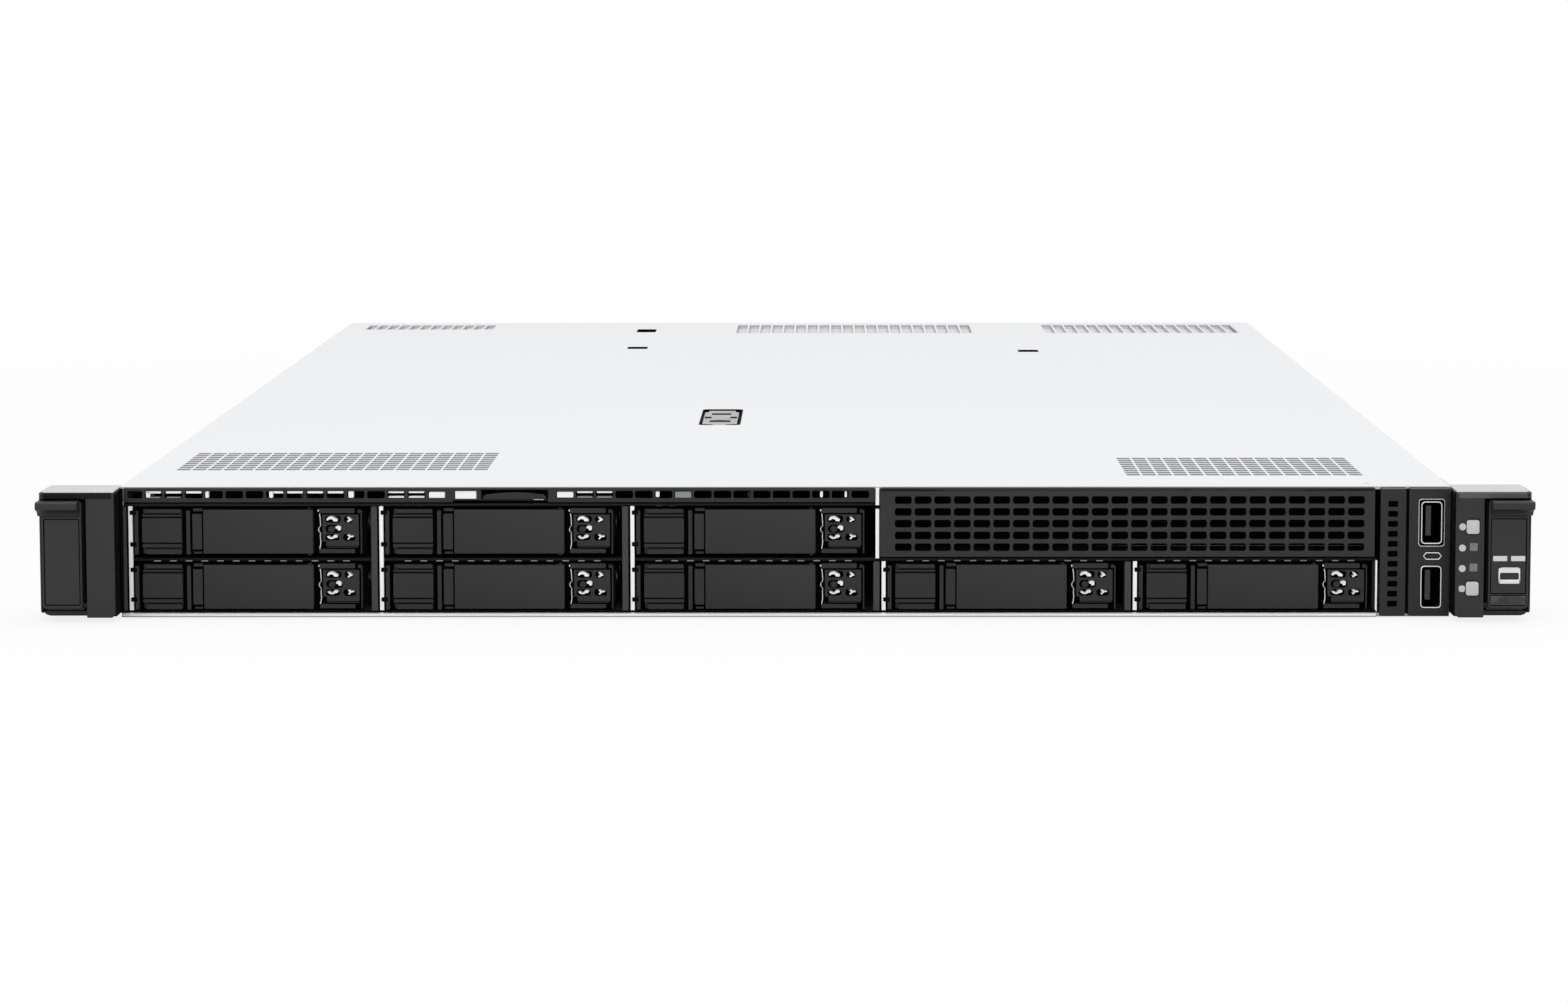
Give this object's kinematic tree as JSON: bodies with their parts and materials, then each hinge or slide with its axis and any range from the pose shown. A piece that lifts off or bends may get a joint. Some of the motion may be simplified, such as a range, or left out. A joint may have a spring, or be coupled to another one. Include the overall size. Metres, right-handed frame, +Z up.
{
  "type": "rack server",
  "caption": "One-unit rack server chassis with hot-swap drive bays, fans, board, power supplies and latching rack ears.",
  "frame": {"origin": "on the underside, on the centre line, in the plane of the rack ears' rear faces", "axes": "+X right seen from the front, +Y from the front to the rear, +Z up"},
  "size_m": [0.4846, 0.7895, 0.0428],
  "materials": {
    "cover_metal": "pre-plated satin sheet",
    "chassis_metal": "galvanised satin sheet",
    "black_plastic": "fine moulded texture",
    "grey_plastic": "fine moulded texture",
    "lever_grey": "satin dark grey",
    "carrier_metal": "satin",
    "connector_shell": "plated",
    "board": "solder mask",
    "memory": "solder mask and chips",
    "sink_metal": "machined",
    "lens": "translucent",
    "release_tab": "touch point",
    "supply_metal": "satin"
  },
  "bodies": {
    "chassis": {"chassis_tray": "chassis_metal", "front_cover": "cover_metal", "drive_cage": "chassis_metal", "drive_backplane": "board", "vent_strip": "black_plastic", "media_bay_blank": "black_plastic", "port_bezel": "black_plastic", "port_shells": "connector_shell", "left_ear": "black_plastic", "right_ear": "black_plastic", "status_lenses": "lens", "fan_housings": "black_plastic", "system_board": "board", "heatsinks": "sink_metal", "memory_modules": "memory", "riser_cage": "chassis_metal", "fasteners": "carrier_metal"},
    "access_panel": {"access_panel": "cover_metal", "cover_latch_base": "grey_plastic"},
    "cover_latch": {"cover_latch_lever": "grey_plastic"},
    "left_latch": {"left_ear_latch": "black_plastic"},
    "right_latch": {"right_ear_latch": "black_plastic"},
    "power_key": {"power_button": "lens"},
    "id_key": {"id_button": "lens"},
    "tab": {"information_tab": "black_plastic"},
    "drive_1": {"drive_carrier_1": "carrier_metal"},
    "ejector_1": {"ejector_lever_1": "lever_grey"},
    "button_1": {"release_button_1": "lever_grey"},
    "drive_2": {"drive_carrier_2": "carrier_metal"},
    "ejector_2": {"ejector_lever_2": "lever_grey"},
    "button_2": {"release_button_2": "lever_grey"},
    "drive_3": {"drive_carrier_3": "carrier_metal"},
    "ejector_3": {"ejector_lever_3": "lever_grey"},
    "button_3": {"release_button_3": "lever_grey"},
    "drive_4": {"drive_carrier_4": "carrier_metal"},
    "ejector_4": {"ejector_lever_4": "lever_grey"},
    "button_4": {"release_button_4": "lever_grey"},
    "drive_5": {"drive_carrier_5": "carrier_metal"},
    "ejector_5": {"ejector_lever_5": "lever_grey"},
    "button_5": {"release_button_5": "lever_grey"},
    "drive_6": {"drive_carrier_6": "carrier_metal"},
    "ejector_6": {"ejector_lever_6": "lever_grey"},
    "button_6": {"release_button_6": "lever_grey"},
    "drive_7": {"drive_carrier_7": "carrier_metal"},
    "ejector_7": {"ejector_lever_7": "lever_grey"},
    "button_7": {"release_button_7": "lever_grey"},
    "drive_8": {"drive_carrier_8": "carrier_metal"},
    "ejector_8": {"ejector_lever_8": "lever_grey"},
    "button_8": {"release_button_8": "lever_grey"},
    "supply_1": {"power_supply_1": "supply_metal"},
    "supply_tab_1": {"supply_release_tab_1": "release_tab"},
    "supply_2": {"power_supply_2": "supply_metal"},
    "supply_tab_2": {"supply_release_tab_2": "release_tab"},
    "rotor_1": {"fan_rotor_1": "black_plastic"},
    "rotor_2": {"fan_rotor_2": "black_plastic"},
    "rotor_3": {"fan_rotor_3": "black_plastic"},
    "rotor_4": {"fan_rotor_4": "black_plastic"},
    "rotor_5": {"fan_rotor_5": "black_plastic"},
    "rotor_6": {"fan_rotor_6": "black_plastic"},
    "rotor_7": {"fan_rotor_7": "black_plastic"}
  },
  "joints": [
    {"name": "access_panel_lift", "type": "slide", "parent": "chassis", "child": "access_panel", "axis": [0, 0, 1], "range_m": [0, 0.09]},
    {"name": "cover_latch_turn", "type": "hinge", "parent": "access_panel", "child": "cover_latch", "pos_m": [-0.02625, 0.2695, 0.0389], "axis": [-1, 0, 0], "range_deg": [0, 80]},
    {"name": "drive_1_slide", "type": "slide", "parent": "chassis", "child": "drive_1", "axis": [0, -1, 0], "range_m": [0, 0.12]},
    {"name": "ejector_1_turn", "type": "hinge", "parent": "drive_1", "child": "ejector_1", "pos_m": [-0.1554, -0.0084, 0.0099], "axis": [0, 0, 1], "range_deg": [0, 60]},
    {"name": "release_button_1_press", "type": "slide", "parent": "drive_1", "child": "button_1", "axis": [0, 1, 0], "range_m": [0, 0.001], "stiffness_N_per_m": 400},
    {"name": "drive_6_slide", "type": "slide", "parent": "chassis", "child": "drive_6", "axis": [0, -1, 0], "range_m": [0, 0.12]},
    {"name": "ejector_6_turn", "type": "hinge", "parent": "drive_6", "child": "ejector_6", "pos_m": [-0.1554, -0.0084, 0.0281], "axis": [0, 0, 1], "range_deg": [0, 60]},
    {"name": "release_button_6_press", "type": "slide", "parent": "drive_6", "child": "button_6", "axis": [0, 1, 0], "range_m": [0, 0.001], "stiffness_N_per_m": 400},
    {"name": "drive_8_slide", "type": "slide", "parent": "chassis", "child": "drive_8", "axis": [0, -1, 0], "range_m": [0, 0.12]},
    {"name": "ejector_8_turn", "type": "hinge", "parent": "drive_8", "child": "ejector_8", "pos_m": [0.0088, -0.0084, 0.0281], "axis": [0, 0, 1], "range_deg": [0, 60]},
    {"name": "release_button_8_press", "type": "slide", "parent": "drive_8", "child": "button_8", "axis": [0, 1, 0], "range_m": [0, 0.001], "stiffness_N_per_m": 400},
    {"name": "drive_5_slide", "type": "slide", "parent": "chassis", "child": "drive_5", "axis": [0, -1, 0], "range_m": [0, 0.12]},
    {"name": "ejector_5_turn", "type": "hinge", "parent": "drive_5", "child": "ejector_5", "pos_m": [0.173, -0.0084, 0.0099], "axis": [0, 0, 1], "range_deg": [0, 60]},
    {"name": "release_button_5_press", "type": "slide", "parent": "drive_5", "child": "button_5", "axis": [0, 1, 0], "range_m": [0, 0.001], "stiffness_N_per_m": 400},
    {"name": "left_latch_turn", "type": "hinge", "parent": "chassis", "child": "left_latch", "pos_m": [-0.234, -0.0175, 0.0052], "axis": [1, 0, 0], "range_deg": [0, 60]},
    {"name": "right_latch_turn", "type": "hinge", "parent": "chassis", "child": "right_latch", "pos_m": [0.234, -0.0175, 0.0052], "axis": [1, 0, 0], "range_deg": [0, 60]},
    {"name": "power_button_press", "type": "slide", "parent": "chassis", "child": "power_key", "axis": [0, 1, 0], "range_m": [0, 0.0008], "stiffness_N_per_m": 500},
    {"name": "id_button_press", "type": "slide", "parent": "chassis", "child": "id_key", "axis": [0, 1, 0], "range_m": [0, 0.0008], "stiffness_N_per_m": 500},
    {"name": "information_tab_pull", "type": "slide", "parent": "chassis", "child": "tab", "axis": [0, -1, 0], "range_m": [0, 0.055]},
    {"name": "supply_1_slide", "type": "slide", "parent": "chassis", "child": "supply_1", "axis": [0, 1, 0], "range_m": [0, 0.18]},
    {"name": "supply_tab_1_squeeze", "type": "hinge", "parent": "supply_1", "child": "supply_tab_1", "pos_m": [-0.1353, 0.741, 0.021], "axis": [0, 0, 1], "range_deg": [0, 12], "stiffness_Nm_per_rad": 0.2},
    {"name": "supply_2_slide", "type": "slide", "parent": "chassis", "child": "supply_2", "axis": [0, 1, 0], "range_m": [0, 0.18]},
    {"name": "supply_tab_2_squeeze", "type": "hinge", "parent": "supply_2", "child": "supply_tab_2", "pos_m": [-0.0472, 0.741, 0.021], "axis": [0, 0, 1], "range_deg": [0, 12], "stiffness_Nm_per_rad": 0.2},
    {"name": "fan_1_spin", "type": "hinge", "parent": "chassis", "child": "rotor_1", "pos_m": [-0.183, 0.176, 0.0211], "axis": [0, 1, 0], "continuous": true},
    {"name": "fan_2_spin", "type": "hinge", "parent": "chassis", "child": "rotor_2", "pos_m": [-0.122, 0.176, 0.0211], "axis": [0, 1, 0], "continuous": true},
    {"name": "fan_3_spin", "type": "hinge", "parent": "chassis", "child": "rotor_3", "pos_m": [-0.061, 0.176, 0.0211], "axis": [0, 1, 0], "continuous": true},
    {"name": "fan_4_spin", "type": "hinge", "parent": "chassis", "child": "rotor_4", "pos_m": [0, 0.176, 0.0211], "axis": [0, 1, 0], "continuous": true},
    {"name": "fan_5_spin", "type": "hinge", "parent": "chassis", "child": "rotor_5", "pos_m": [0.061, 0.176, 0.0211], "axis": [0, 1, 0], "continuous": true},
    {"name": "fan_6_spin", "type": "hinge", "parent": "chassis", "child": "rotor_6", "pos_m": [0.122, 0.176, 0.0211], "axis": [0, 1, 0], "continuous": true},
    {"name": "fan_7_spin", "type": "hinge", "parent": "chassis", "child": "rotor_7", "pos_m": [0.183, 0.176, 0.0211], "axis": [0, 1, 0], "continuous": true},
    {"name": "drive_2_slide", "type": "slide", "parent": "chassis", "child": "drive_2", "axis": [0, -1, 0], "range_m": [0, 0.12]},
    {"name": "ejector_2_turn", "type": "hinge", "parent": "drive_2", "child": "ejector_2", "pos_m": [-0.0733, -0.0084, 0.0099], "axis": [0, 0, 1], "range_deg": [0, 60]},
    {"name": "release_button_2_press", "type": "slide", "parent": "drive_2", "child": "button_2", "axis": [0, 1, 0], "range_m": [0, 0.001], "stiffness_N_per_m": 400},
    {"name": "drive_3_slide", "type": "slide", "parent": "chassis", "child": "drive_3", "axis": [0, -1, 0], "range_m": [0, 0.12]},
    {"name": "ejector_3_turn", "type": "hinge", "parent": "drive_3", "child": "ejector_3", "pos_m": [0.0088, -0.0084, 0.0099], "axis": [0, 0, 1], "range_deg": [0, 60]},
    {"name": "release_button_3_press", "type": "slide", "parent": "drive_3", "child": "button_3", "axis": [0, 1, 0], "range_m": [0, 0.001], "stiffness_N_per_m": 400},
    {"name": "drive_4_slide", "type": "slide", "parent": "chassis", "child": "drive_4", "axis": [0, -1, 0], "range_m": [0, 0.12]},
    {"name": "ejector_4_turn", "type": "hinge", "parent": "drive_4", "child": "ejector_4", "pos_m": [0.0909, -0.0084, 0.0099], "axis": [0, 0, 1], "range_deg": [0, 60]},
    {"name": "release_button_4_press", "type": "slide", "parent": "drive_4", "child": "button_4", "axis": [0, 1, 0], "range_m": [0, 0.001], "stiffness_N_per_m": 400},
    {"name": "drive_7_slide", "type": "slide", "parent": "chassis", "child": "drive_7", "axis": [0, -1, 0], "range_m": [0, 0.12]},
    {"name": "ejector_7_turn", "type": "hinge", "parent": "drive_7", "child": "ejector_7", "pos_m": [-0.0733, -0.0084, 0.0281], "axis": [0, 0, 1], "range_deg": [0, 60]},
    {"name": "release_button_7_press", "type": "slide", "parent": "drive_7", "child": "button_7", "axis": [0, 1, 0], "range_m": [0, 0.001], "stiffness_N_per_m": 400}
  ]
}
